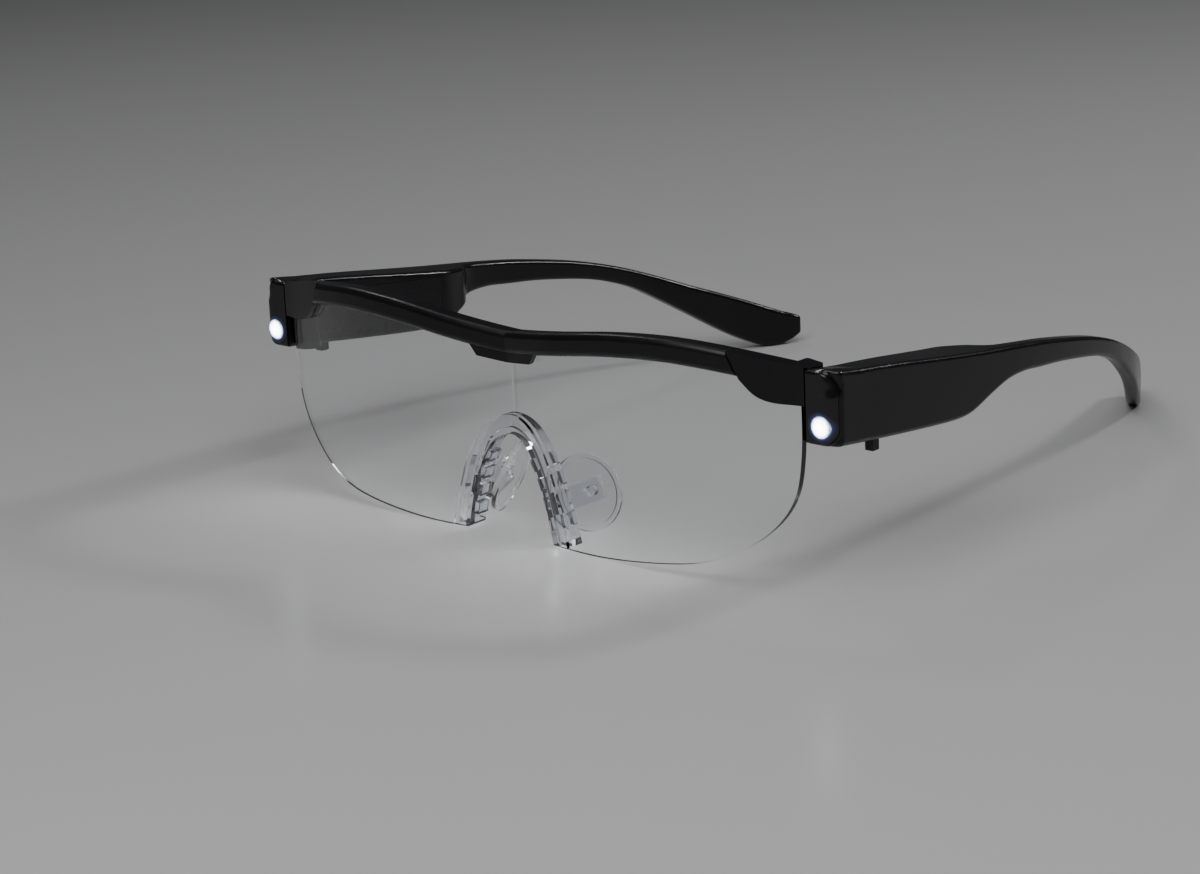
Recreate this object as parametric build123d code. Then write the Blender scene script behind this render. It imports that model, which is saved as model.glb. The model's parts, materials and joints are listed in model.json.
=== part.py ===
from build123d import *
import math
import os

# Lighted magnifier glasses, in millimetres, lying open on a table as worn.
# X runs across the face (the wearer's left is +X), Y runs back along the temples, Z is up.
# Construction frame: X = 0 is the middle plane, Y = 0 the front of the hinge gap, Z = 0 the table.
# Every left piece is made once and mirrored for the right.

# Driving dimensions of the frame front
half_span = 73.75          # middle plane to the end of the frame front
brow_bulge = 8.9           # how far each half of the brow swells forward
end_top = 45.95            # height of the brow at its ends
brow_rise = 3.6            # extra height of the brow over each eye
brow_height = 4.9          # height of the brow bar
brow_depth = 5.0           # front to back, trim and bar together
trim_depth = 1.25          # thickness of the front trim and end caps
trim_crown = 0.4           # the trim's rounded front swells this far past the end caps
seam = 0.08                # gap between pieces that seat on each other
groove_width = 0.4         # open line between trim and bar, seen from above
groove_depth = 1.0
bar_step = 0.5             # the rear bar sits this much lower than the trim
trim_round = 1.3           # rounding of the trim's front edges

# Centre tab under the trim
tab_top_half = 9.9
tab_bottom_half = 7.5
tab_drop = 1.4             # below the bar at the tab's corners
tab_centre_drop = 1.7

# End caps, which drop down in an S-curve beside each hinge
cap_bottom = 38.1
cap_length = 13.35
cap_start_drop = 3.0       # the S-curve starts this far under the brow's end
joint_slant = 2.2          # the joint with the trim leans inwards this much over the brow's height

# Lens
lens_thickness = 1.5
lens_top_drop = 2.0        # top edge of the lens below the top of the brow
lens_inset = 1.45          # side edge of the lens, in from the end of the frame front
lens_flat_end = 20.0       # end of the straight lowest edge, which rests on the table
peg_shares = (0.56, 0.93)  # places along the trim of the pegs that pass through the lens
peg_radius = 0.7
peg_bore_slack = 0.1

# Nose bridge, a clear channel clipped over the lens notch
bridge_height = 26.9
bridge_half_base = 16.4
bridge_band = 4.2          # width of the channel, seen from the front
bridge_overlap = 2.8       # how far its flanges cover the lens
flange = 0.95              # thickness of the front flange
saddle_depth = 0.9         # behind the lens at the apex; the back is flat, so deeper on the legs
bridge_lift = 0.55         # foot of the bridge above the table

# Nose pads
pad_centre = (11.0, 5.6, 8.8)
pad_half_height = 8.5
pad_half_width = 7.9
pad_thickness = 0.85
pad_rim = 1.0
pad_rim_height = 0.45
pad_tilt = 24.0            # lower end leans outwards, degrees
pad_splay = 20.0           # rear edge turns outwards, degrees
carrier_height = 4.8       # arm that carries a pad
carrier_depth = 2.7
carrier_front = 8.8
carrier_back = 2.6
stem_radius = 1.1
stem_length = 2.2

# Hinges
hinge_inset = 0.75         # hinge axis, in from the end of the frame front
axis_y = 6.2
knuckle_radius = 3.2
knuckle_slack = 0.3
lug_round = 0.75           # frame lug behind the hinge axis, seen from above
lug_width = 4.2
lug_joint = 37.8           # top of the temple's knuckle
lug_top = 43.0             # top of the frame's knuckle
screw_radius = 0.8
screw_head_radius = 1.5
screw_head_height = 1.0
screw_slot = 0.4
screw_top = 42.0
running_slack = 0.05

# Temples
temple_length = 162.5      # hinge gap to the end of the ear hook
temple_top = 45.9
box_run = 67.0             # hinge gap to the start of the plain arm
box_offset = 1.1           # hinge axis to the front of the lamp box's inner face
box_width = 7.1            # lamp box at its front
slant_start = 9.0          # the inner face leans inwards between these two places
slant_end = 48.5
slant_depth = 3.8
slant_blend = 1.5
box_round = 1.0
hook_sweep = 28.8          # how far the hook bends inwards
arm_thickness = 4.3
tip_thickness = 3.2
front_round = 1.1
wall = 1.25

# Lamp box interior
cover_start = 10.9
cover_end = 47.5
cover_margin = 1.1         # lower edge of the cover, in from the edge of the lamp box
cover_drop_front = 3.3     # upper edge of the cover, in from the edge of the lamp box
cover_drop_back = 1.3
outline_steps = 6          # straight stretches in the cover's long edges
ledge = 0.4                # rim that the cover lies on
cover_thickness = 1.1
rib_place = 42.6
rib_thickness = 1.0
cover_screw_place = (14.4, 38.9)
cover_screw_radius = 0.7
cover_screw_head = 1.25
cover_screw_height = 0.45
cover_screw_sunk = 0.15
boss_radius = 1.5

# LED and its front cap
bezel_depth = 1.2
bezel_margin = 0.45        # in from the outer face of the lamp box
bezel_low = 30.7
bezel_high = 45.2
bezel_corner = 4.5
bezel_foot_corner = 3.0
bezel_round = 0.3
led_inset = 3.6            # from the outer face of the lamp box
led_height = 34.35
led_radius = 2.25
led_length = 5.2
led_flange_radius = 2.6
led_flange = 1.0
led_dome = 0.3
lead_size = 0.5
lead_pitch = 1.3
lead_end = 11.6

# Switch
knob_inset = 2.7           # from the outer face of the lamp box
knob_y = 15.8
knob_size = 2.0
knob_round = 0.25
knob_foot = 26.1
knob_slack = 0.35
switch_travel = 2.0
slider_extra = 0.5
slider_height = 0.9
switch_width = 4.0
switch_length = 7.6
switch_height = 3.3
switch_wall = 0.6
board_thickness = 0.8
board_start = 9.2
board_end = 20.0
board_width = 3.85

# Coin cells and their contacts
cell_radius = 5.0
cell_thickness = 2.5
cell_rim = 0.35
cell_gap = 0.6
front_cell_y = 26.2
contact_thickness = 0.25
contact_width = 5.0
tab_width = 1.2
overrun = 40.0             # cuts and intersections run this far past the pieces

# Outline shares, chosen by hand: each pair is a share along and a share across
brow_plan_shares = [
    (0.0, 0.70), (0.11, 0.85), (0.23, 0.955), (0.35, 1.0), (0.475, 0.985),
    (0.595, 0.89), (0.70, 0.73), (0.80, 0.51), (0.89, 0.27), (1.0, 0.0),
]
brow_top_shares = [
    (0.0, -0.24), (0.11, 0.04), (0.23, 0.37), (0.35, 0.71), (0.475, 0.94),
    (0.595, 1.0), (0.70, 0.87), (0.80, 0.62), (0.89, 0.33), (1.0, 0.0),
]
cap_edge_shares = [(0.0, 1.0), (0.11, 0.66), (0.26, 0.29), (0.46, 0.08), (0.72, 0.02), (1.0, 0.0)]
lens_edge_shares = [
    (0.191, 0.0105), (0.344, 0.029), (0.478, 0.050), (0.574, 0.0735), (0.669, 0.1155), (0.765, 0.181),
    (0.860, 0.278), (0.927, 0.383), (0.967, 0.488), (0.990, 0.63), (1.0, 0.814), (1.0, 1.0),
]
arch_shares = [(0.0, 1.0), (0.15, 0.988), (0.31, 0.945), (0.465, 0.86), (0.60, 0.735),
               (0.72, 0.59), (0.81, 0.435), (0.90, 0.25), (1.0, 0.0)]
box_top_shares = [(0.0, 1.0), (0.13, 0.976), (0.334, 0.938), (0.49, 0.905), (0.70, 0.861),
                  (0.85, 0.832), (1.0, 0.805)]
arm_top_shares = [(0.0426, 0.793), (0.134, 0.765), (0.230, 0.729), (0.337, 0.683), (0.404, 0.648),
                  (0.507, 0.582), (0.608, 0.501), (0.711, 0.408), (0.813, 0.306), (0.907, 0.206)]
box_foot_shares = [(0.0, 0.661), (0.164, 0.637), (0.328, 0.611), (0.54, 0.580), (0.65, 0.5685),
                   (0.70, 0.5695), (0.745, 0.581), (0.819, 0.614), (0.878, 0.638), (0.937, 0.657),
                   (1.0, 0.664)]
arm_foot_shares = [(0.0426, 0.662), (0.087, 0.652), (0.181, 0.632), (0.283, 0.601), (0.366, 0.570),
                   (0.426, 0.540), (0.480, 0.503), (0.507, 0.482), (0.609, 0.368), (0.711, 0.232),
                   (0.813, 0.090), (0.881, 0.016)]
tip_shares = [(0.957, 0.001), (0.985, 0.038), (1.0, 0.115), (0.992, 0.160)]
box_back_shares = [(0.0, 0.0), (0.08, 0.0), (0.297, 0.143), (0.497, 0.394), (0.676, 0.88), (0.80, 0.985),
                   (1.0, 1.0)]
hook_sweep_shares = [(0.0, 0.0), (0.25, 0.011), (0.40, 0.031), (0.50, 0.065), (0.58, 0.110),
                     (0.65, 0.169), (0.71, 0.240), (0.77, 0.335), (0.83, 0.465), (0.89, 0.640),
                     (0.945, 0.820), (1.0, 1.0)]


def scaled(shares, along, across, start=(0.0, 0.0)):
    """Outline points from shares of two sizes."""
    return [(start[0] + a * along, start[1] + b * across) for a, b in shares]


def closed(*edges):
    """A face inside a loop of edges."""
    return make_face(Wire([edge for run in edges for edge in run.edges()]))


def upright(face, low, high):
    """Extrude a face drawn in X and Y from one height to another."""
    return extrude(Pos(0, 0, low) * face, amount=high - low)


def across_y(face, near, far):
    """Extrude a face drawn in X and Z from one Y to another."""
    placed = Plane.XZ * face
    return extrude(Pos(0, near, 0) * placed, amount=far - near, dir=(0, 1, 0))


def across_x(face, near, far):
    """Extrude a face drawn in Y and Z from one X to another."""
    placed = Plane.YZ * face
    return extrude(Pos(near, 0, 0) * placed, amount=far - near, dir=(1, 0, 0))


def block(x, y, z):
    """A box between two corners, given as three pairs."""
    size = [high - low for low, high in (x, y, z)]
    middle = [(high + low) / 2 for low, high in (x, y, z)]
    return Pos(*middle) * Box(*size)


def band_face(points, low, high):
    """A face between a curve moved by two amounts across."""
    lower = Spline([(a, b + low) for a, b in points])
    upper = Spline([(a, b + high) for a, b in points])
    return closed(lower, Line(lower @ 1, upper @ 1), upper, Line(upper @ 0, lower @ 0))


def last_stretch(line):
    """Direction of the last stretch of a line of points."""
    return (line[-1][0] - line[-2][0], line[-1][1] - line[-2][1])


def both_sides(half):
    """A half from the middle plane outwards, made whole."""
    return half + mirror(half, about=Plane.YZ)


# Frame front
trim_reach = half_span - cap_length
lens_half_width = half_span - lens_inset
brow_plan = scaled(brow_plan_shares, half_span, -brow_bulge)
brow_top = scaled(brow_top_shares, half_span, brow_rise, (0.0, end_top))
lens_front = trim_depth + seam
lens_back = lens_front + lens_thickness
brow_crest = end_top + brow_rise


def behind_brow(near, far):
    """The upright slab that follows the brow's plan curve, between two depths."""
    return upright(band_face(brow_plan, near, far), -overrun, brow_crest + overrun)


def under_brow(low, high):
    """The slab that follows the brow's top curve, between two heights measured from it."""
    return across_y(band_face(brow_top, low, high), -overrun, overrun)


def brow_band(near, far, low, high):
    """A bar that follows the brow in plan and in front view."""
    return behind_brow(near, far) & under_brow(low, high)


def inside_reach(start, end):
    """Everything between two distances from the middle plane."""
    return block((start, end), (-overrun, overrun), (-overrun, brow_crest + overrun))


def cap_outline():
    """Front outline of an end cap, taller than the brow so that the brow trims it."""
    fall = end_top - cap_start_drop - cap_bottom
    edge = Spline(scaled(cap_edge_shares, cap_length, fall, (trim_reach, cap_bottom)))
    sill = brow_crest + brow_height
    top_end = (joint_x(trim_reach, sill), sill)
    return closed(
        edge,
        Line(edge @ 1, (half_span, sill)),
        Line((half_span, sill), top_end),
        Line(top_end, edge @ 0),
    )


def joint_x(reach, height):
    """Where the slanted joint between trim and end cap lies at a height."""
    return reach - joint_slant * (height - end_top + cap_start_drop) / brow_height


def inside_joint(reach):
    """Everything on the inner side of the slanted joint."""
    low, high = cap_bottom, brow_crest + brow_height
    side = Polyline([(0, low), (joint_x(reach, low), low), (joint_x(reach, high), high), (0, high)], close=True)
    return across_y(make_face(side), -overrun, overrun)


def tab_outline():
    """Half of the centre tab, seen from the front."""
    low = brow_top[0][1] - brow_height
    tab_points = [
        (0.0, low - tab_centre_drop),
        (tab_bottom_half, low - tab_drop + bar_step),
        (tab_top_half, low + brow_height / 2),
        (0.0, low + brow_height / 2),
    ]
    return make_face(Polyline(tab_points, close=True))


def trim_pegs(radius, back):
    """Upright row of pegs or holes behind the trim, one or more each side."""
    pegs = []
    for share in peg_shares:
        height = end_top + brow_rise - lens_top_drop - brow_height / 3
        start = -brow_bulge
        peg = Pos(share * trim_reach, start, height) * Rot(-90, 0, 0) * Cylinder(
            radius, overrun, align=(Align.CENTER, Align.CENTER, Align.MIN)
        )
        pegs.append(peg & behind_brow(trim_depth / 2, back))
    return pegs


def make_brow_trim():
    bar = brow_band(-trim_crown, trim_depth, -brow_height, 0) & inside_joint(trim_reach - seam)
    long_edges = bar.edges().filter_by(lambda edge: edge.length > trim_reach / 2)
    bar = fillet(long_edges.sort_by(Axis.Y)[:2], trim_round)
    tab = across_y(tab_outline(), -overrun, overrun) & behind_brow(0, trim_depth)
    half = bar + tab
    for peg in trim_pegs(peg_radius, lens_back + trim_depth):
        half += peg
    return both_sides(half)


def make_end_cap():
    cap = behind_brow(0, trim_depth) & under_brow(-overrun, 0)
    cap = cap & across_y(cap_outline(), -overrun, overrun)
    return cap - inside_joint(trim_reach + seam)


def make_frame_bar():
    bar = brow_band(trim_depth + seam, brow_depth, -brow_height, -bar_step)
    end_block = (
        behind_brow(trim_depth + seam, brow_depth)
        & under_brow(-overrun, -bar_step)
        & across_y(cap_outline(), -overrun, overrun)
    )
    half = bar + end_block
    half = half - (behind_brow(0, trim_depth + groove_width) & under_brow(-groove_depth, overrun))
    lug_face = Pos(half_span - lug_width / 2, axis_y + lug_round - lug_width / 2) * RectangleRounded(
        lug_width, lug_width, lug_round
    )
    lug = upright(lug_face, cap_bottom, brow_crest) & under_brow(-overrun, -bar_step)
    barrel = Pos(axis_x, axis_y, (cap_bottom + lug_top) / 2) * Cylinder(knuckle_radius, lug_top - cap_bottom)
    half = half + lug + barrel
    lens_groove = behind_brow(0, lens_back + seam) & under_brow(-overrun, -lens_top_drop + seam)
    half = half - (lens_groove & inside_reach(0, lens_half_width + seam))
    half = half - Pos(axis_x, axis_y, 0) * Cylinder(screw_radius, 2 * screw_top + 2 * seam)
    for hole in trim_pegs(peg_radius + running_slack, lens_back + trim_depth + seam):
        half -= hole
    return both_sides(half)


# Lens
def arch_face(inset):
    """Half of the nose arch under a curve set in from the bridge's outline."""
    foot = -overrun
    across = bridge_half_base - inset
    points = scaled(arch_shares, across, bridge_height - inset - bridge_lift, (0.0, bridge_lift))
    curve = Spline(points, tangents=[(1, 0), last_stretch(points)])
    end = curve @ 1
    return closed(
        curve,
        Line(end, (end.X, foot)),
        Line((end.X, foot), (0, foot)),
        Line((0, foot), (0, points[0][1])),
    )


def lens_outline():
    """Half of the lens, seen from the front, with its top above the brow."""
    run = lens_half_width - lens_flat_end
    edge = Spline(
        [(lens_flat_end, 0.0)] + scaled(lens_edge_shares, run, cap_bottom, (lens_flat_end, 0.0)),
        tangents=[(1, 0), (0, 1)],
    )
    sill = brow_crest + overrun
    return closed(
        Line((0, 0), (lens_flat_end, 0.0)),
        edge,
        Line(edge @ 1, (lens_half_width, sill)),
        Line((lens_half_width, sill), (0, sill)),
        Line((0, sill), (0, 0)),
    )


def make_lens():
    sheet = behind_brow(lens_front, lens_back) & under_brow(-overrun - brow_crest, -lens_top_drop)
    half = sheet & across_y(lens_outline(), -overrun, overrun)
    notch = across_y(arch_face(bridge_overlap), -overrun, overrun)
    half = half - notch
    for hole in trim_pegs(peg_radius + peg_bore_slack, lens_back + seam):
        half -= hole
    return both_sides(half)


# Nose bridge and pads
def pad_plane():
    """The plane of the left pad: local X runs back along it, local Y up, local Z outwards."""
    tilt = math.radians(pad_tilt)
    splay = math.radians(pad_splay)
    up = Vector(-math.sin(tilt), 0, math.cos(tilt))
    back = Vector(math.sin(splay), math.cos(splay), 0)
    back = (back - up * back.dot(up)).normalized()
    outwards = back.cross(up).normalized()
    return Plane(origin=pad_centre, x_dir=back, z_dir=outwards)


def make_nose_bridge():
    plan = behind_brow(lens_front - flange, overrun)
    back = brow_plan[0][1] + lens_back + saddle_depth
    outer = across_y(arch_face(0), -overrun, overrun)
    inner = across_y(arch_face(bridge_band), -overrun, overrun)
    half = (outer - inner) & plan & block((0, half_span), (-overrun, back), (bridge_lift, brow_crest))
    slot_plan = behind_brow(lens_front - seam, lens_back + seam)
    slot = slot_plan - across_y(arch_face(bridge_overlap + seam), -overrun, overrun)
    half = half - slot
    place = pad_plane()
    arm = place * block(
        (-carrier_front, carrier_back),
        (-carrier_height / 2, carrier_height / 2),
        (pad_thickness + seam, pad_thickness + seam + carrier_depth),
    )
    arm = arm - behind_brow(-overrun, lens_back + seam)
    bore = place * Pos(0, 0, pad_thickness) * Cylinder(
        stem_radius + running_slack, stem_length + seam, align=(Align.CENTER, Align.CENTER, Align.MIN)
    )
    return both_sides(half + arm - bore)


def make_nose_pad():
    place = pad_plane()
    disc = extrude(Ellipse(pad_half_width, pad_half_height), amount=pad_thickness)
    rim_outline = Ellipse(pad_half_width, pad_half_height) - Ellipse(
        pad_half_width - pad_rim, pad_half_height - pad_rim
    )
    rim = extrude(rim_outline, amount=-pad_rim_height)
    stem = Pos(0, 0, pad_thickness) * Cylinder(
        stem_radius, stem_length, align=(Align.CENTER, Align.CENTER, Align.MIN)
    )
    return place * (disc + rim + stem)


# Hinge screw, driven from below into the frame's knuckle
axis_x = half_span - hinge_inset


def make_hinge_screw():
    foot = temple_foot_at(axis_y)
    shaft = Pos(axis_x, axis_y, foot) * Cylinder(
        screw_radius, screw_top - foot, align=(Align.CENTER, Align.CENTER, Align.MIN)
    )
    head = Pos(axis_x, axis_y, foot) * Cylinder(
        screw_head_radius, screw_head_height, align=(Align.CENTER, Align.CENTER, Align.MIN)
    )
    slot = block(
        (axis_x - screw_head_radius, axis_x + screw_head_radius),
        (axis_y - screw_slot / 2, axis_y + screw_slot / 2),
        (foot - overrun, foot + screw_head_height / 2),
    )
    return shaft + head - slot


# Temple
temple_inner = axis_x + box_offset
temple_outer = temple_inner + box_width
arm_run = temple_length - box_run
arm_begins = (box_run, 0.0)
top_line = scaled(box_top_shares, box_run, temple_top) + scaled(arm_top_shares, arm_run, temple_top, arm_begins)
foot_line = scaled(box_foot_shares, box_run, temple_top) + scaled(arm_foot_shares, arm_run, temple_top, arm_begins)
tip_line = scaled(tip_shares, temple_length, temple_top)
outer_line = [(y, temple_outer - x) for y, x in scaled(hook_sweep_shares, temple_length, hook_sweep)]


def line_at(line, y):
    """Reading of an outline at a distance back, between its points."""
    for (y0, value0), (y1, value1) in zip(line[:-1], line[1:]):
        if y <= y1:
            return value0 + (value1 - value0) * (y - y0) / (y1 - y0)
    return line[-1][1]


def temple_foot_at(y):
    return line_at(foot_line, y)


def temple_top_at(y):
    return line_at(top_line, y)


def slant_x(y):
    """Where the lamp box's slanted inner face lies at a distance back."""
    return temple_inner - slant_depth * (y - slant_start) / (slant_end - slant_start)


def from_slant(low, high):
    """The upright slab between two distances outwards from the slanted inner face."""
    near, far = slant_x(0), slant_x(box_run)
    corners = [(near + low, 0), (far + low, box_run), (far + high, box_run), (near + high, 0)]
    return upright(make_face(Polyline(corners, close=True)), -overrun, brow_crest + overrun)


def temple_side():
    """Side outline of the whole temple, from the hinge gap to the tip."""
    top = Spline(top_line)
    foot = Spline(foot_line)
    tip = Spline([foot @ 1] + tip_line + [top @ 1], tangents=[foot % 1, (top % 1) * -1])
    return closed(top, tip, foot, Line(foot @ 0, top @ 0))


def temple_plan():
    """Plan outline of the whole temple, which ends square to the hook."""
    back_x = slant_x(slant_end)
    arm_x = line_at(outer_line, box_run) - arm_thickness
    back_line = [
        (back_x + x, y)
        for y, x in scaled(box_back_shares, box_run - slant_end, arm_x - back_x, (slant_end, 0.0))
    ]
    inner_line = [(arm_x, box_run)]
    last_before = max(k for k, (y, x) in enumerate(outer_line) if y < box_run)
    for k in range(last_before + 1, len(outer_line)):
        (y0, x0), (y1, x1) = outer_line[k - 1], outer_line[k]
        run = math.hypot(x1 - x0, y1 - y0)
        taper = (k - last_before) / (len(outer_line) - last_before)
        thickness = arm_thickness + (tip_thickness - arm_thickness) * taper
        inner_line.append((x1 - thickness * (y1 - y0) / run, y1 + thickness * (x1 - x0) / run))
    blend_start = (temple_inner, slant_start - slant_blend)
    blend_end = (slant_x(slant_start + slant_blend), slant_start + slant_blend)
    lean = (-slant_depth, slant_end - slant_start)
    outer = Spline([(x, y) for y, x in outer_line])
    inner = Spline(inner_line, tangents=[(0, 1), last_stretch(inner_line)])
    back = Spline(back_line, tangents=[lean, (0, 1)])
    return closed(
        outer,
        Line(outer @ 1, inner @ 1),
        inner,
        back,
        Line(back @ 0, blend_end),
        Spline([blend_end, blend_start], tangents=[(-lean[0], -lean[1]), (0, -1)]),
        Line(blend_start, (temple_inner, 0)),
        Line((temple_inner, 0), outer @ 0),
    )


def cover_drop_at(y):
    """How far the cover's upper edge lies under the top of the lamp box."""
    share = (y - cover_start) / (cover_end - cover_start)
    return cover_drop_front + (cover_drop_back - cover_drop_front) * share


def box_face(margin, start, end):
    """Side outline of the battery cover, set in from its edges."""
    ys = [start + (end - start) * k / outline_steps for k in range(outline_steps + 1)]
    top = Polyline([(y, temple_top_at(y) - cover_drop_at(y) - margin) for y in ys])
    foot = Polyline([(y, temple_foot_at(y) + cover_margin + margin) for y in ys])
    return closed(top, Line(top @ 1, foot @ 1), foot, Line(foot @ 0, top @ 0))


bezel_outer = temple_outer - bezel_margin
led_place = (temple_outer - led_inset, led_height)
knob_x = temple_outer - knob_inset


def bezel_face(slack):
    """The lamp's front cap, seen from the front."""
    plate = make_face(
        Polyline(
            [
                (temple_inner - slack, bezel_low - slack),
                (bezel_outer + slack, bezel_low - slack),
                (bezel_outer + slack, bezel_high + slack),
                (temple_inner - slack, bezel_high + slack),
            ],
            close=True,
        )
    )
    corners = plate.vertices().group_by(Axis.X)[-1].sort_by(Axis.Y)
    plate = fillet(corners[-1], bezel_corner)
    foot = plate.vertices().group_by(Axis.Y)[0].sort_by(Axis.X)[-1]
    return fillet(foot, bezel_foot_corner)


def led_bore(radius, near, far):
    across, up = led_place
    return Pos(across, near, up) * Rot(-90, 0, 0) * Cylinder(
        radius, far - near, align=(Align.CENTER, Align.CENTER, Align.MIN)
    )


cavity_inner = temple_inner + cover_thickness
cavity_outer = temple_outer - wall
cavity_start = cover_start + ledge
switch_floor = temple_foot_at(cover_start) + cover_margin + ledge + seam


def knob_slot(low, high):
    """The way that the switch knob needs through a floor."""
    return block(
        (knob_x - knob_size / 2 - knob_slack, knob_x + knob_size / 2 + knob_slack),
        (knob_y - knob_size / 2 - knob_slack, knob_y + knob_size / 2 + knob_slack + switch_travel),
        (low, high),
    )


def make_temple_shell():
    shell = across_x(temple_side(), 0, temple_outer + overrun)
    shell = shell & upright(temple_plan(), -overrun, brow_crest + overrun)
    front_edge = shell.edges().filter_by(Axis.Z).filter_by(lambda edge: edge.length > arm_thickness * 2)
    shell = fillet(front_edge.sort_by(Axis.X)[-1], front_round)
    edges = shell.edges().filter_by(lambda edge: (edge @ 0.5).Y > 2 * front_round)
    box_joints = edges.filter_by(Axis.Z).filter_by(lambda edge: (edge @ 0.5).Y < temple_length / 2)
    shell = fillet([edge for edge in edges if edge not in box_joints], box_round)
    shell = shell - across_y(bezel_face(seam), -overrun, bezel_depth)
    shell = shell - led_bore(led_radius + seam, 0, led_length)
    shell = shell - led_bore(led_flange_radius + seam, led_length - led_flange - seam, led_length + seam)
    lead_room = led_radius - seam
    shell = shell - block(
        (cavity_inner, cavity_outer),
        (led_length, cavity_start + seam),
        (led_place[1] - lead_room, led_place[1] + lead_room),
    )
    rebate = across_x(box_face(0, cover_start, cover_end), 0, temple_outer)
    shell = shell - (rebate & from_slant(-overrun, cover_thickness))
    shell = shell - across_x(box_face(ledge, cavity_start, cover_end - ledge), 0, cavity_outer)
    rib = across_x(box_face(0, rib_place, rib_place + rib_thickness), 0, temple_outer - wall / 2)
    shell = shell + (rib & from_slant(cover_thickness + seam, overrun))
    boss_y, boss_z = cover_screw_place
    boss = Pos(temple_inner, boss_y, boss_z) * Rot(0, 90, 0) * Cylinder(
        boss_radius, cavity_outer - temple_inner, align=(Align.CENTER, Align.CENTER, Align.MIN)
    )
    shell = shell + (boss & from_slant(cover_thickness + seam, overrun))
    shell = shell - Pos(0, boss_y, boss_z) * Rot(0, 90, 0) * Cylinder(
        cover_screw_radius, cavity_outer - seam, align=(Align.CENTER, Align.CENTER, Align.MIN)
    )
    pocket = Pos(axis_x, axis_y, lug_joint) * Cylinder(
        knuckle_radius + knuckle_slack, lug_top + knuckle_slack - lug_joint,
        align=(Align.CENTER, Align.CENTER, Align.MIN),
    )
    shell = shell - pocket
    foot = temple_foot_at(axis_y)
    barrel = Pos(axis_x, axis_y, foot) * Cylinder(
        knuckle_radius, lug_joint - foot, align=(Align.CENTER, Align.CENTER, Align.MIN)
    )
    led_room = block(
        (led_place[0] - led_flange_radius - seam, temple_outer),
        (0, axis_y + knuckle_radius + seam),
        (foot, lug_joint),
    )
    shell = shell + (barrel - led_room)
    shell = shell - Pos(axis_x, axis_y, 0) * Cylinder(
        screw_radius + running_slack, lug_joint + seam, align=(Align.CENTER, Align.CENTER, Align.MIN)
    )
    shell = shell - Pos(axis_x, axis_y, 0) * Cylinder(
        screw_head_radius + running_slack, foot + screw_head_height + running_slack,
        align=(Align.CENTER, Align.CENTER, Align.MIN),
    )
    return shell - knob_slot(0, switch_floor)


def make_battery_cover():
    side = across_x(box_face(seam, cover_start + seam, cover_end - seam), 0, temple_outer)
    plate = side & from_slant(0, cover_thickness)
    boss_y, boss_z = cover_screw_place
    hole = Pos(0, boss_y, boss_z) * Rot(0, 90, 0) * Cylinder(
        cover_screw_radius + running_slack, temple_outer, align=(Align.CENTER, Align.CENTER, Align.MIN)
    )
    sink_end = slant_x(boss_y) + cover_screw_sunk + cover_screw_height + seam
    sink = Pos(0, boss_y, boss_z) * Rot(0, 90, 0) * Cylinder(
        cover_screw_head + running_slack, sink_end, align=(Align.CENTER, Align.CENTER, Align.MIN)
    )
    return plate - hole - sink


def make_cover_screw():
    boss_y, boss_z = cover_screw_place
    start = slant_x(boss_y) + cover_screw_sunk
    head = Pos(start, boss_y, boss_z) * Rot(0, 90, 0) * Cylinder(
        cover_screw_head, cover_screw_height, align=(Align.CENTER, Align.CENTER, Align.MIN)
    )
    shaft = Pos(start, boss_y, boss_z) * Rot(0, 90, 0) * Cylinder(
        cover_screw_radius - running_slack / 2, cavity_outer - start - wall,
        align=(Align.CENTER, Align.CENTER, Align.MIN),
    )
    slot = block(
        (start - overrun, start + cover_screw_height / 2),
        (boss_y - screw_slot / 2, boss_y + screw_slot / 2),
        (boss_z - cover_screw_head, boss_z + cover_screw_head),
    )
    return head + shaft - slot


def make_led_bezel():
    plate = across_y(bezel_face(0), 0, bezel_depth - seam)
    front_edges = plate.edges().group_by(Axis.Y)[0].sort_by(Axis.X)[1:]
    plate = fillet(front_edges, bezel_round)
    return plate - led_bore(led_radius + seam, -overrun, overrun)


def make_led():
    body = led_bore(led_radius, 0, led_length)
    collar = led_bore(led_flange_radius, led_length - led_flange, led_length)
    across, up = led_place
    ball = (led_radius ** 2 + led_dome ** 2) / (2 * led_dome)
    dome = Pos(across, ball - led_dome, up) * Sphere(ball)
    dome = dome & led_bore(led_radius, -led_dome, 0)
    return body + collar + dome


def make_led_leads():
    across, up = led_place
    leads = []
    for side in (-1, 1):
        x = across + side * lead_pitch
        leads.append(block(
            (x - lead_size / 2, x + lead_size / 2),
            (led_length, lead_end),
            (board_top, board_top + lead_size),
        ))
    return Compound(children=leads)


board_low = switch_floor + switch_height + seam
board_top = board_low + board_thickness + seam


def make_switch_body():
    low = switch_floor
    middle = knob_y + switch_travel / 2
    case = block(
        (knob_x - switch_width / 2 + seam, min(knob_x + switch_width / 2, cavity_outer - seam)),
        (middle - switch_length / 2, middle + switch_length / 2),
        (low, low + switch_height),
    )
    room = slider_extra / 2 + knob_slack
    track = block(
        (knob_x - knob_size / 2 - room, knob_x + knob_size / 2 + knob_slack),
        (knob_y - knob_size / 2 - room, knob_y + knob_size / 2 + room + switch_travel),
        (low + switch_wall, low + switch_height - switch_wall),
    )
    return case - track - knob_slot(0, low + switch_wall + seam)


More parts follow.
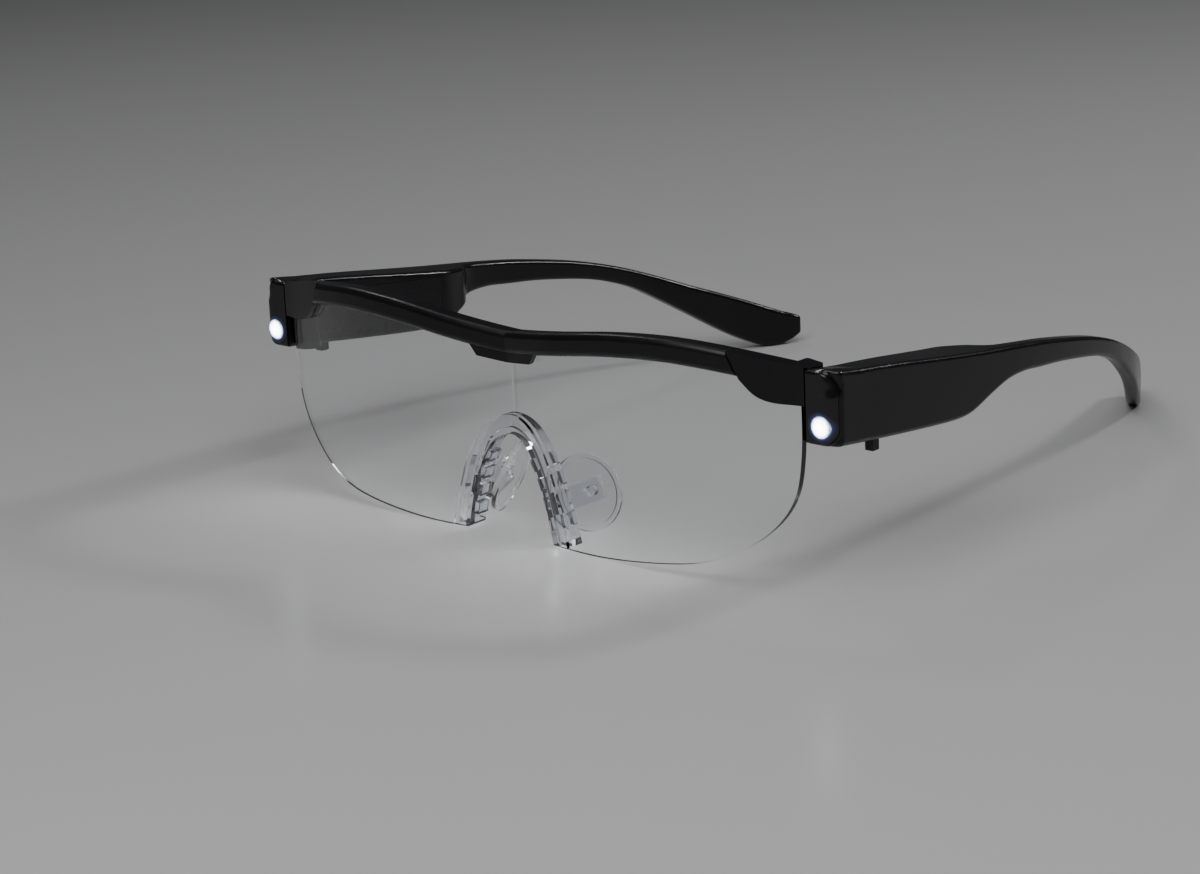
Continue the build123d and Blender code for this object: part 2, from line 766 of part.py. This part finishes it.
def make_switch_knob():
    low = switch_floor + switch_wall + knob_slack
    peg = block(
        (knob_x - knob_size / 2, knob_x + knob_size / 2),
        (knob_y - knob_size / 2, knob_y + knob_size / 2),
        (knob_foot, low + slider_height),
    )
    peg = fillet(peg.edges().group_by(Axis.Z)[0], knob_round)
    slider = block(
        (knob_x - knob_size / 2 - slider_extra / 2, knob_x + knob_size / 2),
        (knob_y - knob_size / 2 - slider_extra / 2, knob_y + knob_size / 2 + slider_extra / 2),
        (low, low + slider_height),
    )
    return peg + slider


def make_circuit_board():
    return block(
        (cavity_outer - seam - board_width, cavity_outer - seam),
        (board_start, board_end),
        (board_low, board_low + board_thickness),
    )


cell_outer = cavity_outer - contact_thickness - 2 * seam
cell_inner = cell_outer - cell_thickness
rear_cell_y = front_cell_y + 2 * cell_radius + cell_gap


def cell_z(y):
    """Height of a cell's centre, midway between the cavity's floor and roof."""
    return (temple_top_at(y) - cover_drop_at(y) + temple_foot_at(y) + cover_margin) / 2


def make_cell(y, z):
    """A coin cell standing on edge, its smaller face towards the cover."""
    case = Pos(cell_inner + cell_rim, y, z) * Rot(0, 90, 0) * Cylinder(
        cell_radius, cell_thickness - cell_rim, align=(Align.CENTER, Align.CENTER, Align.MIN)
    )
    button = Pos(cell_inner, y, z) * Rot(0, 90, 0) * Cylinder(
        cell_radius - 2 * cell_rim, cell_rim, align=(Align.CENTER, Align.CENTER, Align.MIN)
    )
    return case + button


def make_cell_contacts():
    """Two plates on the outer wall, each with a tab that runs forward to the board."""
    inner = cell_outer + seam
    outer = inner + contact_thickness
    plates = []
    front_z, rear_z = cell_z(front_cell_y), cell_z(rear_cell_y)
    switch_end = knob_y + (switch_travel + switch_length) / 2
    for y, z, tab_z, tab_start in (
        (front_cell_y, front_z, front_z, board_end + seam),
        (rear_cell_y, rear_z, rear_z - (contact_width + tab_width) / 2, switch_end + seam),
    ):
        plate = block(
            (inner, outer),
            (y - contact_width / 2, y + contact_width / 2),
            (z - contact_width / 2, z + contact_width / 2),
        )
        plate += block(
            (inner, outer),
            (y - contact_width / 2, y - contact_width / 2 + tab_width),
            (tab_z, z + tab_width),
        )
        plate += block((inner, outer), (tab_start, y), (tab_z, tab_z + tab_width))
        plates.append(plate)
    return Compound(children=plates)


def make_contact_link():
    """A leaf on the cover that joins both cells, with a raised pad on each."""
    start = cover_thickness + seam
    height = cell_z(rear_cell_y)
    leaf = from_slant(start, start + contact_thickness) & block(
        (0, cavity_outer),
        (front_cell_y - contact_width / 2, rear_cell_y + contact_width / 2),
        (height - tab_width, height + tab_width),
    )
    for y in (front_cell_y, rear_cell_y):
        foot = slant_x(y) + start + contact_thickness / 2
        bump = Pos(foot, y, height) * Rot(0, 90, 0) * Cone(
            tab_width, tab_width / 2, cell_inner - seam - foot, align=(Align.CENTER, Align.CENTER, Align.MIN)
        )
        leaf += bump
    return leaf


middle_pieces = {
    "frame_bar": make_frame_bar(),
    "brow_trim": make_brow_trim(),
    "lens": make_lens(),
    "nose_bridge": make_nose_bridge(),
}
side_pieces = {
    "end_cap": make_end_cap(),
    "nose_pad": make_nose_pad(),
    "hinge_screw": make_hinge_screw(),
    "temple_shell": make_temple_shell(),
    "battery_cover": make_battery_cover(),
    "cover_screw": make_cover_screw(),
    "led_bezel": make_led_bezel(),
    "led": make_led(),
    "led_leads": make_led_leads(),
    "circuit_board": make_circuit_board(),
    "switch_body": make_switch_body(),
    "switch_knob": make_switch_knob(),
    "front_cell": make_cell(front_cell_y, cell_z(front_cell_y)),
    "rear_cell": make_cell(rear_cell_y, cell_z(rear_cell_y)),
    "cell_contacts": make_cell_contacts(),
    "contact_link": make_contact_link(),
}

pieces = dict(middle_pieces)
for name, left in side_pieces.items():
    pieces["left_" + name] = left
    pieces["right_" + name] = mirror(left, about=Plane.YZ)

# The origin is on the table under the middle of the whole object.
boxes = [piece.bounding_box() for piece in pieces.values()]
front_y = min(box.min.Y for box in boxes)
back_y = max(box.max.Y for box in boxes)
low_z = min(box.min.Z for box in boxes)
origin_y = (front_y + back_y) / 2
shift = Pos(0, -origin_y, -low_z)

os.makedirs("parts", exist_ok=True)
for name, piece in pieces.items():
    export_step(shift * piece, "parts/" + name + ".step")

print("moved by", round(-origin_y, 4), round(-low_z, 4))
print("hinge axis", axis_x, round(axis_y - origin_y, 4), round(lug_joint - low_z, 4))
print("overall", round(back_y - front_y, 2), "deep")
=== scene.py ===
import json
import math

import bmesh
import bpy
from mathutils import Matrix, Vector


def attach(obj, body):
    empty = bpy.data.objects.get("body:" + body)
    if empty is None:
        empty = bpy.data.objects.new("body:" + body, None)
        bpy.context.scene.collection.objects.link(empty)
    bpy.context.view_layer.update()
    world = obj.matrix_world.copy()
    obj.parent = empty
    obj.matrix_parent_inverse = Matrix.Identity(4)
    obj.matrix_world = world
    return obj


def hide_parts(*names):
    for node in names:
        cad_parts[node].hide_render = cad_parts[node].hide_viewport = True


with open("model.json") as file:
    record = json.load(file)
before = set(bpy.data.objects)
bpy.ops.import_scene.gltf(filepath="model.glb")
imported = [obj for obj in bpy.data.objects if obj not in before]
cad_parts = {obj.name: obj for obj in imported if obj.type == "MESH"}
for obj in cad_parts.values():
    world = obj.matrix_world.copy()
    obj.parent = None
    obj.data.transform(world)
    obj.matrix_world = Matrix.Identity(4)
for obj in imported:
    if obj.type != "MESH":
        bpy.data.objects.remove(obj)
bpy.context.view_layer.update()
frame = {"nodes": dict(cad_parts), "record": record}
nodes = frame["nodes"]
mm = 0.001

# Camera, at the photograph's angle
camera_place = Vector((424.287, -534.308, 196.633)) * mm
camera_azimuth = 41.455
camera_elevation = 15.810
camera_roll = -2.516
camera_lens = 90.95
camera_sensor = 36
camera_near = 0.01
camera_far = 50

# Studio
floor_size = 6.0
floor_colour = (0.44, 0.44, 0.445)
floor_drift = 1.02            # how much lighter the floor's palest parts are
floor_roughness = 0.26
floor_specular = 0.22
world_colour = (0.50, 0.51, 0.53)
world_strength = 0.08
studio_lights = [             # name, place, aim, size, power
    ("front_top", (0.20, -0.36, 0.60), (0.02, -0.05, 0), (0.7, 0.6), 4.4),
    ("overhead", (-0.15, 0.20, 1.0), (0, 0, 0), (0.9, 0.7), 0.9),
    ("back_edge", (0.36, 0.74, 0.62), (0.03, 0, 0.03), (0.12, 0.12), 3.0),
    ("left_edge", (-0.68, 0.30, 0.70), (0, 0, 0.03), (0.10, 0.10), 0.6),
]

# The model's Y at the front of the hinge gap, where the CAD construction frame has its zero
gap_y = -76.4195 * mm

# The LED's axis and its window's radius
led_x = 77.6 * mm
led_z = 34.35 * mm
led_radius = 2.25 * mm


def make_camera():
    """The camera, turned by azimuth, elevation and roll."""
    a = math.radians(camera_azimuth)
    e = math.radians(camera_elevation)
    r = math.radians(camera_roll)
    back = Vector((math.sin(a) * math.cos(e), -math.cos(a) * math.cos(e), math.sin(e)))
    right = Vector((math.cos(a), math.sin(a), 0))
    up = back.cross(right)
    across = math.cos(r) * right + math.sin(r) * up
    upward = -math.sin(r) * right + math.cos(r) * up
    turn = Matrix((across, upward, back)).transposed()
    data = bpy.data.cameras.new("camera")
    data.lens = camera_lens
    data.sensor_width = camera_sensor
    data.clip_start = camera_near
    data.clip_end = camera_far
    camera = bpy.data.objects.new("camera", data)
    camera.matrix_world = Matrix.Translation(camera_place) @ turn.to_4x4()
    bpy.context.scene.collection.objects.link(camera)
    bpy.context.scene.camera = camera


def area_light(name, place, aim, size, power):
    """A soft rectangular studio light."""
    data = bpy.data.lights.new(name, "AREA")
    data.shape = "RECTANGLE"
    data.size, data.size_y = size
    data.energy = power
    light = bpy.data.objects.new(name, data)
    light.location = place
    light.rotation_euler = (Vector(aim) - Vector(place)).to_track_quat("-Z", "Y").to_euler()
    bpy.context.scene.collection.objects.link(light)


def make_studio():
    """Plain floor, soft lights and an even world."""
    world = bpy.data.worlds.new("studio")
    world.use_nodes = True
    background = world.node_tree.nodes["Background"]
    background.inputs["Color"].default_value = (*world_colour, 1)
    background.inputs["Strength"].default_value = world_strength
    bpy.context.scene.world = world
    mesh = bpy.data.meshes.new("floor")
    half = floor_size / 2
    corners = [(-half, -half, 0), (half, -half, 0), (half, half, 0), (-half, half, 0)]
    mesh.from_pydata(corners, [], [(0, 1, 2, 3)])
    floor = bpy.data.objects.new("floor", mesh)
    bpy.context.scene.collection.objects.link(floor)
    mesh.materials.append(floor_material())
    for light in studio_lights:
        area_light(*light)


# Node helpers. A noise scale is in features per metre.

tone_stops = (0.35, 0.65)     # of a noise, where the dark tone ends and the light one starts
noise_range = (0.3, 0.7)      # where most of a noise lies


def shader_of(name):
    """A new node material with its principled shader."""
    material = bpy.data.materials.new(name)
    material.use_nodes = True
    tree = material.node_tree
    shader = next(n for n in tree.nodes if n.type == "BSDF_PRINCIPLED")
    return material, tree, shader


def feed(tree, shader, socket, value):
    """Links a value to one of the shader's sockets."""
    tree.links.new(value, shader.inputs[socket])


def noise(tree, scale, detail=3.0, stretch=(1, 1, 1)):
    """Noise in the object's own coordinates."""
    coordinates = tree.nodes.new("ShaderNodeTexCoord")
    mapping = tree.nodes.new("ShaderNodeMapping")
    mapping.inputs["Scale"].default_value = stretch
    texture = tree.nodes.new("ShaderNodeTexNoise")
    texture.inputs["Scale"].default_value = scale
    texture.inputs["Detail"].default_value = detail
    tree.links.new(coordinates.outputs["Object"], mapping.inputs["Vector"])
    tree.links.new(mapping.outputs["Vector"], texture.inputs["Vector"])
    return texture.outputs["Fac"]


def ramp(tree, value, stops):
    """Colours along a value."""
    node = tree.nodes.new("ShaderNodeValToRGB")
    elements = node.color_ramp.elements
    while len(elements) < len(stops):
        elements.new(0.5)
    for element, (place, colour) in zip(elements, stops):
        element.position = place
        element.color = (*colour, 1)
    tree.links.new(value, node.inputs["Fac"])
    return node.outputs["Color"]


def between(tree, value, low, high):
    """A noise's middle range, spread between two limits."""
    node = tree.nodes.new("ShaderNodeMapRange")
    node.inputs["From Min"].default_value = noise_range[0]
    node.inputs["From Max"].default_value = noise_range[1]
    node.inputs["To Min"].default_value = low
    node.inputs["To Max"].default_value = high
    tree.links.new(value, node.inputs["Value"])
    return node.outputs["Result"]


def two_tone(tree, shader, value, dark, light):
    """A base colour that drifts between two tones."""
    stops = list(zip(tone_stops, (dark, light)))
    feed(tree, shader, "Base Color", ramp(tree, value, stops))


def uneven_gloss(tree, shader, value, smooth, rough):
    """A roughness that drifts between two limits."""
    feed(tree, shader, "Roughness", between(tree, value, smooth, rough))


def bump(tree, shader, height, strength, distance):
    """Fine relief in the shading."""
    node = tree.nodes.new("ShaderNodeBump")
    node.inputs["Strength"].default_value = strength
    node.inputs["Distance"].default_value = distance
    tree.links.new(height, node.inputs["Height"])
    feed(tree, shader, "Normal", node.outputs["Normal"])


def math_node(tree, operation, first, second=None):
    """One step of arithmetic on a value."""
    node = tree.nodes.new("ShaderNodeMath")
    node.operation = operation
    for socket, value in zip(node.inputs, (first, second)):
        if value is None:
            continue
        if isinstance(value, (int, float)):
            socket.default_value = value
        else:
            tree.links.new(value, socket)
    return node.outputs[0]


def split_axes(tree, kind):
    """X, Y and Z of the object's own places or normals."""
    coordinates = tree.nodes.new("ShaderNodeTexCoord")
    split = tree.nodes.new("ShaderNodeSeparateXYZ")
    tree.links.new(coordinates.outputs[kind], split.inputs[0])
    return tuple(split.outputs)


def led_share(tree):
    """Distance from the LED's axis, in LED radii."""
    x, _, z = split_axes(tree, "Object")
    across = math_node(tree, "SUBTRACT", math_node(tree, "ABSOLUTE", x), led_x)
    up = math_node(tree, "SUBTRACT", z, led_z)
    across_squared = math_node(tree, "MULTIPLY", across, across)
    up_squared = math_node(tree, "MULTIPLY", up, up)
    squares = math_node(tree, "ADD", across_squared, up_squared)
    return math_node(tree, "DIVIDE", math_node(tree, "SQRT", squares), led_radius)


# Materials

drift_scale = 45
wear_scale = 260
wear_detail = 4
grain_detail = 2
grain_relief = 0.05 * mm
plastic_ior = 1.45
plastic_specular = 0.38
clear_ior = 1.49
brushed = (1, 1, 0.1)         # stretch that turns noise into brushing
painted_glow_span = 2.0               # reach of the glow painted on the front cap round an LED, in LED radii
lamp_power = 14.0

deep_black = ((0.004, 0.004, 0.005), (0.007, 0.007, 0.008))
soft_black = ((0.005, 0.005, 0.006), (0.008, 0.008, 0.009))

# Colours of the painted glow on the front cap round each LED, fading out from the LED's rim
painted_glow_stops = [
    (0.0, (0.5, 0.6, 1.0)),
    (0.51, (0.10, 0.13, 0.34)),
    (0.57, (0.018, 0.023, 0.07)),
    (0.72, (0.0, 0.0, 0.0)),
]
glow_stops = [
    (0.0, (1.0, 1.0, 1.0)),
    (0.72, (0.97, 0.985, 1.0)),
    (0.90, (0.60, 0.72, 1.0)),
    (1.0, (0.16, 0.22, 0.45)),
]
heat_stops = [(0.0, 1.0), (0.70, 0.6), (0.93, 0.15), (1.0, 0.05)]

# Dark and light tone, smooth and rough limit, scale of the grain, strength of the grain
moulded_looks = {
    "gloss_black": (*deep_black, 0.18, 0.25, 120, 0.10),
    "satin_black": (*soft_black, 0.28, 0.36, 2500, 0.06),
    "cover_black": (*soft_black, 0.24, 0.32, 2500, 0.06),
    "switch_black": (*deep_black, 0.26, 0.36, 2500, 0.06),
    "board_green": ((0.02, 0.12, 0.05), (0.03, 0.16, 0.07), 0.3, 0.4, 4000, 0.1),
}
# Tint of the faces and the painted dark shade of the cut edges, smooth and rough limit, specular
# level
clear_looks = {
    "clear_lens": ((0.98, 0.985, 0.99), (0.20, 0.21, 0.22), 0.0, 0.004, 0.2),
    "clear_nose": ((0.96, 0.975, 0.99), (0.85, 0.88, 0.93), 0.0, 0.01, 0.7),
    "clear_pad": ((1.0, 1.0, 1.0), (0.93, 0.95, 0.97), 0.0, 0.01, 0.7),
}
# Dark and light tone, smooth and rough limit
metal_looks = {
    "screw_steel": ((0.36, 0.36, 0.38), (0.5, 0.5, 0.52), 0.25, 0.4),
    "cell_metal": ((0.6, 0.6, 0.62), (0.75, 0.75, 0.76), 0.18, 0.3),
    "tinned_metal": ((0.62, 0.6, 0.52), (0.75, 0.73, 0.66), 0.25, 0.4),
}


def moulded(name, dark, light, smooth, rough, grain, depth):
    """Moulded plastic: slight colour drift, uneven gloss and a moulded grain."""
    material, tree, shader = shader_of(name)
    two_tone(tree, shader, noise(tree, drift_scale), dark, light)
    uneven_gloss(tree, shader, noise(tree, wear_scale, wear_detail), smooth, rough)
    bump(tree, shader, noise(tree, grain, grain_detail), depth, grain_relief)
    shader.inputs["IOR"].default_value = plastic_ior
    shader.inputs["Specular IOR Level"].default_value = plastic_specular
    return material


def clear(name, tint, painted_edge_shade, smooth, rough, gloss):
    """Clear moulded plastic, with a darker shade painted on its cut edges."""
    material, tree, shader = shader_of(name)
    facing = math_node(tree, "ABSOLUTE", split_axes(tree, "Normal")[1])
    drift = between(tree, noise(tree, 60), -0.04, 0.04)
    front = math_node(tree, "ADD", facing, drift)
    # where the normal lies across Y, on the cut edges, the colour turns to a painted dark shade
    feed(tree, shader, "Base Color", ramp(tree, front, [(0.35, painted_edge_shade), (0.62, tint)]))
    uneven_gloss(tree, shader, noise(tree, 150), smooth, rough)
    shader.inputs["Transmission Weight"].default_value = 1.0
    shader.inputs["IOR"].default_value = clear_ior
    shader.inputs["Specular IOR Level"].default_value = gloss
    return material


def metal(name, dark, light, smooth, rough):
    """Metal with fine brushing."""
    material, tree, shader = shader_of(name)
    brushing = noise(tree, 900, 3, brushed)
    two_tone(tree, shader, brushing, dark, light)
    uneven_gloss(tree, shader, brushing, smooth, rough)
    shader.inputs["Metallic"].default_value = 1.0
    return material


def bezel_with_painted_glow(name):
    """Black front cap with a bluish glow painted on close round its LED, which the cap emits
    itself.
    """
    material, tree, shader = shader_of(name)
    two_tone(tree, shader, noise(tree, drift_scale), *deep_black)
    uneven_gloss(tree, shader, noise(tree, wear_scale, wear_detail), 0.22, 0.30)
    reach = math_node(tree, "DIVIDE", led_share(tree), painted_glow_span)
    # the cap emits this painted glow itself, though it is no lamp
    feed(tree, shader, "Emission Color", ramp(tree, reach, painted_glow_stops))
    feed(tree, shader, "Emission Strength", between(tree, noise(tree, 700), 0.75, 0.95))
    return material


def lamp(name):
    """The lit LED, white hot at its middle and bluer and dimmer at its rim."""
    material, tree, shader = shader_of(name)
    share = led_share(tree)
    uneven = math_node(tree, "ADD", share, between(tree, noise(tree, 900), -0.05, 0.05))
    feed(tree, shader, "Emission Color", ramp(tree, uneven, glow_stops))
    heat = ramp(tree, uneven, [(place, (level,) * 3) for place, level in heat_stops])
    feed(tree, shader, "Emission Strength", math_node(tree, "MULTIPLY", heat, lamp_power))
    uneven_gloss(tree, shader, noise(tree, 500), 0.05, 0.12)
    return material


def floor_material():
    """Pale plain floor."""
    material, tree, shader = shader_of("pale_floor")
    pale = tuple(c * floor_drift for c in floor_colour)
    stops = list(zip(noise_range, (floor_colour, pale)))
    feed(tree, shader, "Base Color", ramp(tree, noise(tree, 3), stops))
    shader.inputs["Roughness"].default_value = floor_roughness
    shader.inputs["Specular IOR Level"].default_value = floor_specular
    return material


def make_materials():
    """One material for each slot in the record, and one for the nose pads."""
    made = {"bezel_black": bezel_with_painted_glow("bezel_black"), "led_white": lamp("led_white")}
    for make, looks in ((moulded, moulded_looks), (clear, clear_looks), (metal, metal_looks)):
        for name, look in looks.items():
            made[name] = make(name, *look)
    return made


def dress_nodes(materials):
    """Every node takes the material of its slot in the record."""
    for part in frame["record"]["subparts"]:
        piece = nodes[part["node"]]
        piece.data.materials.clear()
        piece.data.materials.append(materials[part["material_slot"]])


# Reshaped pieces, in millimetres of the construction frame, on the positive X side

shell_outer = 81.18
shell_top = 45.76
shell_foot = 30.15
top_corner = 3.6
foot_corner = 3.4
side_round = 2.3
top_round = 0.6
foot_round = 0.9
corner_slope = 0.35
front_reach = 9.0             # how far back the lamp front is cut finer and reshaped
cap_centre = (76.25, 40.7)    # of the front cap's top corner
cap_push = 0.75               # how far that corner is filled out
cap_ring = (2.0, 6.2)         # distances from cap_centre between which it is filled out
sharp_angle = 38              # in degrees, of the edges that stay sharp
weld_distance = 0.0001 * mm
cut_distance = 0.002 * mm

# Planes that cut the lamp front finer, square to X, Z and Y
cut_x = (78.8, 79.2, 79.6, 79.9, 80.2, 80.45, 80.7, 80.9, 81.05)
cut_z = (30.6, 31.1, 31.6, 32.2, 32.9, 33.7, 40.2, 41.2, 42.0, 42.6,
         43.1, 43.5, 43.9, 44.3, 44.7, 45.0, 45.2, 45.4, 45.55, 45.66)
cut_y = (0.3, 0.6, 1.0, 1.5, 2.1, 3.0, 4.2, 5.6, 7.5, 9.5)

# The hook tip along Y: its lower and upper line in the CAD model, and how far the upper one rises
tip_start = 134.0
tip_thinnest = 0.01
tip_foot = [(134, 11.25), (138, 8.52), (142, 5.81), (146, 3.33), (150, 1.25),
            (152, 0.41), (153.6, 0.08), (155, 0.02), (156, 0.11), (158, 0.64),
            (160, 1.70), (161, 2.46), (161.8, 3.26), (162.1, 3.76), (162.6, 5.30)]
tip_top = [(134, 19.14), (138, 17.28), (142, 15.35), (146, 13.36), (150, 11.33),
           (153.6, 9.46), (155, 8.82), (156, 8.45), (158, 8.01), (160, 7.94),
           (161, 7.51), (161.8, 6.70), (162.1, 6.19), (162.6, 5.30)]
tip_rise = [(134, 0.0), (138, 0.22), (142, 0.50), (146, 0.74), (150, 0.97),
            (153.6, 1.09), (155, 1.08), (156, 1.00), (158, 0.59), (160, -0.19),
            (161, -0.26), (161.8, -0.10), (162.1, 0.0), (162.6, 0.0)]


def on_line(points, place):
    """Height of a broken line at a place along it."""
    for (p0, h0), (p1, h1) in zip(points, points[1:]):
        if place <= p1:
            return h0 + (h1 - h0) * (place - p0) / (p1 - p0)
    return points[-1][1]


def front_setback(x, z):
    """How far the lamp front falls back at x, z: rounded round its outer edge and corners."""
    upper = z > (shell_top + shell_foot) / 2
    corner = top_corner if upper else foot_corner
    flat = top_round if upper else foot_round
    rise = (z - (shell_top - corner)) if upper else ((shell_foot + corner) - z)
    out = x - (shell_outer - corner)
    if rise > 0 and out > 0:
        reach = math.hypot(rise, out)
        inward = corner - reach
        side = out / reach
    elif rise > out:
        inward, side = corner - rise, 0.0
    else:
        inward, side = corner - out, 1.0
    limit = side_round * side ** 2 + flat * (1 - side ** 2)
    if inward >= limit:
        return 0.0
    if inward <= 0:
        return limit - corner_slope * inward
    return limit * (1 - inward / limit) ** 2


def moved(x, y, z):
    """A temple's point after the front is rounded and the tip's top line is straightened."""
    if y < front_reach:
        fade = 1 - max(y, 0) / front_reach
        out, rise = x - cap_centre[0], z - cap_centre[1]
        reach = math.hypot(out, rise)
        inner, outer = cap_ring
        if out > 0 and rise > 0 and inner < reach < outer:
            share = min(reach - inner, 1.0, outer - reach)
            push = cap_push * 2 * out * rise / reach ** 2 * share * fade
            x += push * out / reach
            z += push * rise / reach
        y += front_setback(x, z) * fade
    if y > tip_start:
        top, foot = on_line(tip_top, y), on_line(tip_foot, y)
        share = min(max((z - foot) / max(top - foot, tip_thinnest), 0), 1)
        z += on_line(tip_rise, y) * share
    return x, y, z


def cut_front(work, sign):
    """Cuts the faces near the lamp front along every plane."""
    planes = [((x, 0, 0), (1, 0, 0)) for x in cut_x]
    planes += [((0, 0, z), (0, 0, 1)) for z in cut_z]
    planes += [((0, y, 0), (0, 1, 0)) for y in cut_y]
    back = gap_y + front_reach * mm
    for (x, y, z), normal in planes:
        point = Vector((sign * x * mm, y * mm + gap_y, z * mm))
        near = [f for f in work.faces if min(v.co.y for v in f.verts) < back]
        edges = {e for f in near for e in f.edges}
        points = {v for f in near for v in f.verts}
        bmesh.ops.bisect_plane(work, geom=[*points, *edges, *near], dist=cut_distance,
                               plane_co=point, plane_no=Vector(normal))


def finished(work, mesh_name, piece_name, material):
    """The piece that a worked mesh becomes, with its material."""
    mesh = bpy.data.meshes.new(mesh_name)
    work.to_mesh(mesh)
    work.free()
    mesh.materials.append(material)
    piece = bpy.data.objects.new(piece_name, mesh)
    bpy.context.scene.collection.objects.link(piece)
    return piece


def reshaped(side, node, body, slot, material):
    """A copy of a temple node, cut finer at the lamp front, with its points moved."""
    sign = 1 if side == "left" else -1
    work = bmesh.new()
    work.from_mesh(nodes[side + "_" + node].data)
    bmesh.ops.remove_doubles(work, verts=work.verts[:], dist=weld_distance)
    cut_front(work, sign)
    for vert in work.verts:
        x, y, z = moved(abs(vert.co.x) / mm, (vert.co.y - gap_y) / mm, vert.co.z / mm)
        vert.co = Vector((vert.co.x, y * mm + gap_y, z * mm))
    bmesh.ops.triangulate(work, faces=[f for f in work.faces if len(f.verts) > 4])
    for face in work.faces:
        face.smooth = True
    piece = finished(work, side + "_" + slot, side + "_" + node + "_shaped", material)
    mesh = piece.data
    if "custom_normal" in mesh.attributes:
        mesh.attributes.remove(mesh.attributes["custom_normal"])
    mesh.set_sharp_from_angle(angle=math.radians(sharp_angle))
    weighted = piece.modifiers.new("weighted", "WEIGHTED_NORMAL")
    weighted.keep_sharp = True
    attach(piece, body)
    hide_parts(side + "_" + node)


# Lugs along the inner faces of the bridge legs, which grip the lens

leg_line = [(4.0, 11.45), (8.0, 10.47), (12.0, 9.35), (16.0, 7.73), (20.0, 5.35)]
leg_step = 1.0                # above and below a lug, where the leg's lean is taken
lug_heights = (4.6, 8.9, 13.0, 16.9)
lug_size = (1.3, 3.4, 2.9)
lug_round = 0.22
lug_bite = 0.1
lug_y = -4.9


def bridge_lugs(side, material):
    """Small bevelled blocks, one mesh for each leg."""
    sign = 1 if side == "left" else -1
    work = bmesh.new()
    for height in lug_heights:
        low, high = on_line(leg_line, height - leg_step), on_line(leg_line, height + leg_step)
        lean = math.atan2(high - low, 2 * leg_step)
        x = on_line(leg_line, height) - lug_size[0] / 2 + lug_bite
        made = bmesh.ops.create_cube(work, size=1.0)["verts"]
        turn = (Matrix.Translation((x, lug_y, height)) @ Matrix.Rotation(lean, 4, "Y")
                @ Matrix.Diagonal((*lug_size, 1)))
        bmesh.ops.transform(work, matrix=turn, verts=made)
        edges = list({e for v in made for e in v.link_edges})
        bmesh.ops.bevel(work, geom=edges, offset=lug_round, segments=2, profile=0.5,
                        affect="EDGES")
    for vert in work.verts:
        vert.co = Vector((sign * vert.co.x * mm, vert.co.y * mm + gap_y, vert.co.z * mm))
    if sign < 0:
        bmesh.ops.reverse_faces(work, faces=work.faces[:])
    name = side + "_bridge_lugs"
    piece = finished(work, name, name, material)
    piece.visible_shadow = False
    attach(piece, "frame")


make_camera()
make_studio()
materials = make_materials()
dress_nodes(materials)
for name in ("lens", "nose_bridge", "left_nose_pad", "right_nose_pad"):
    nodes[name].visible_shadow = False    # light passes through clear plastic
for side in ("left", "right"):
    nodes[side + "_nose_pad"].data.materials[0] = materials["clear_pad"]
    reshaped(side, "temple_shell", side + "_temple", "gloss_black", materials["gloss_black"])
    reshaped(side, "led_bezel", side + "_temple", "bezel_black", materials["bezel_black"])
    bridge_lugs(side, materials["clear_nose"])
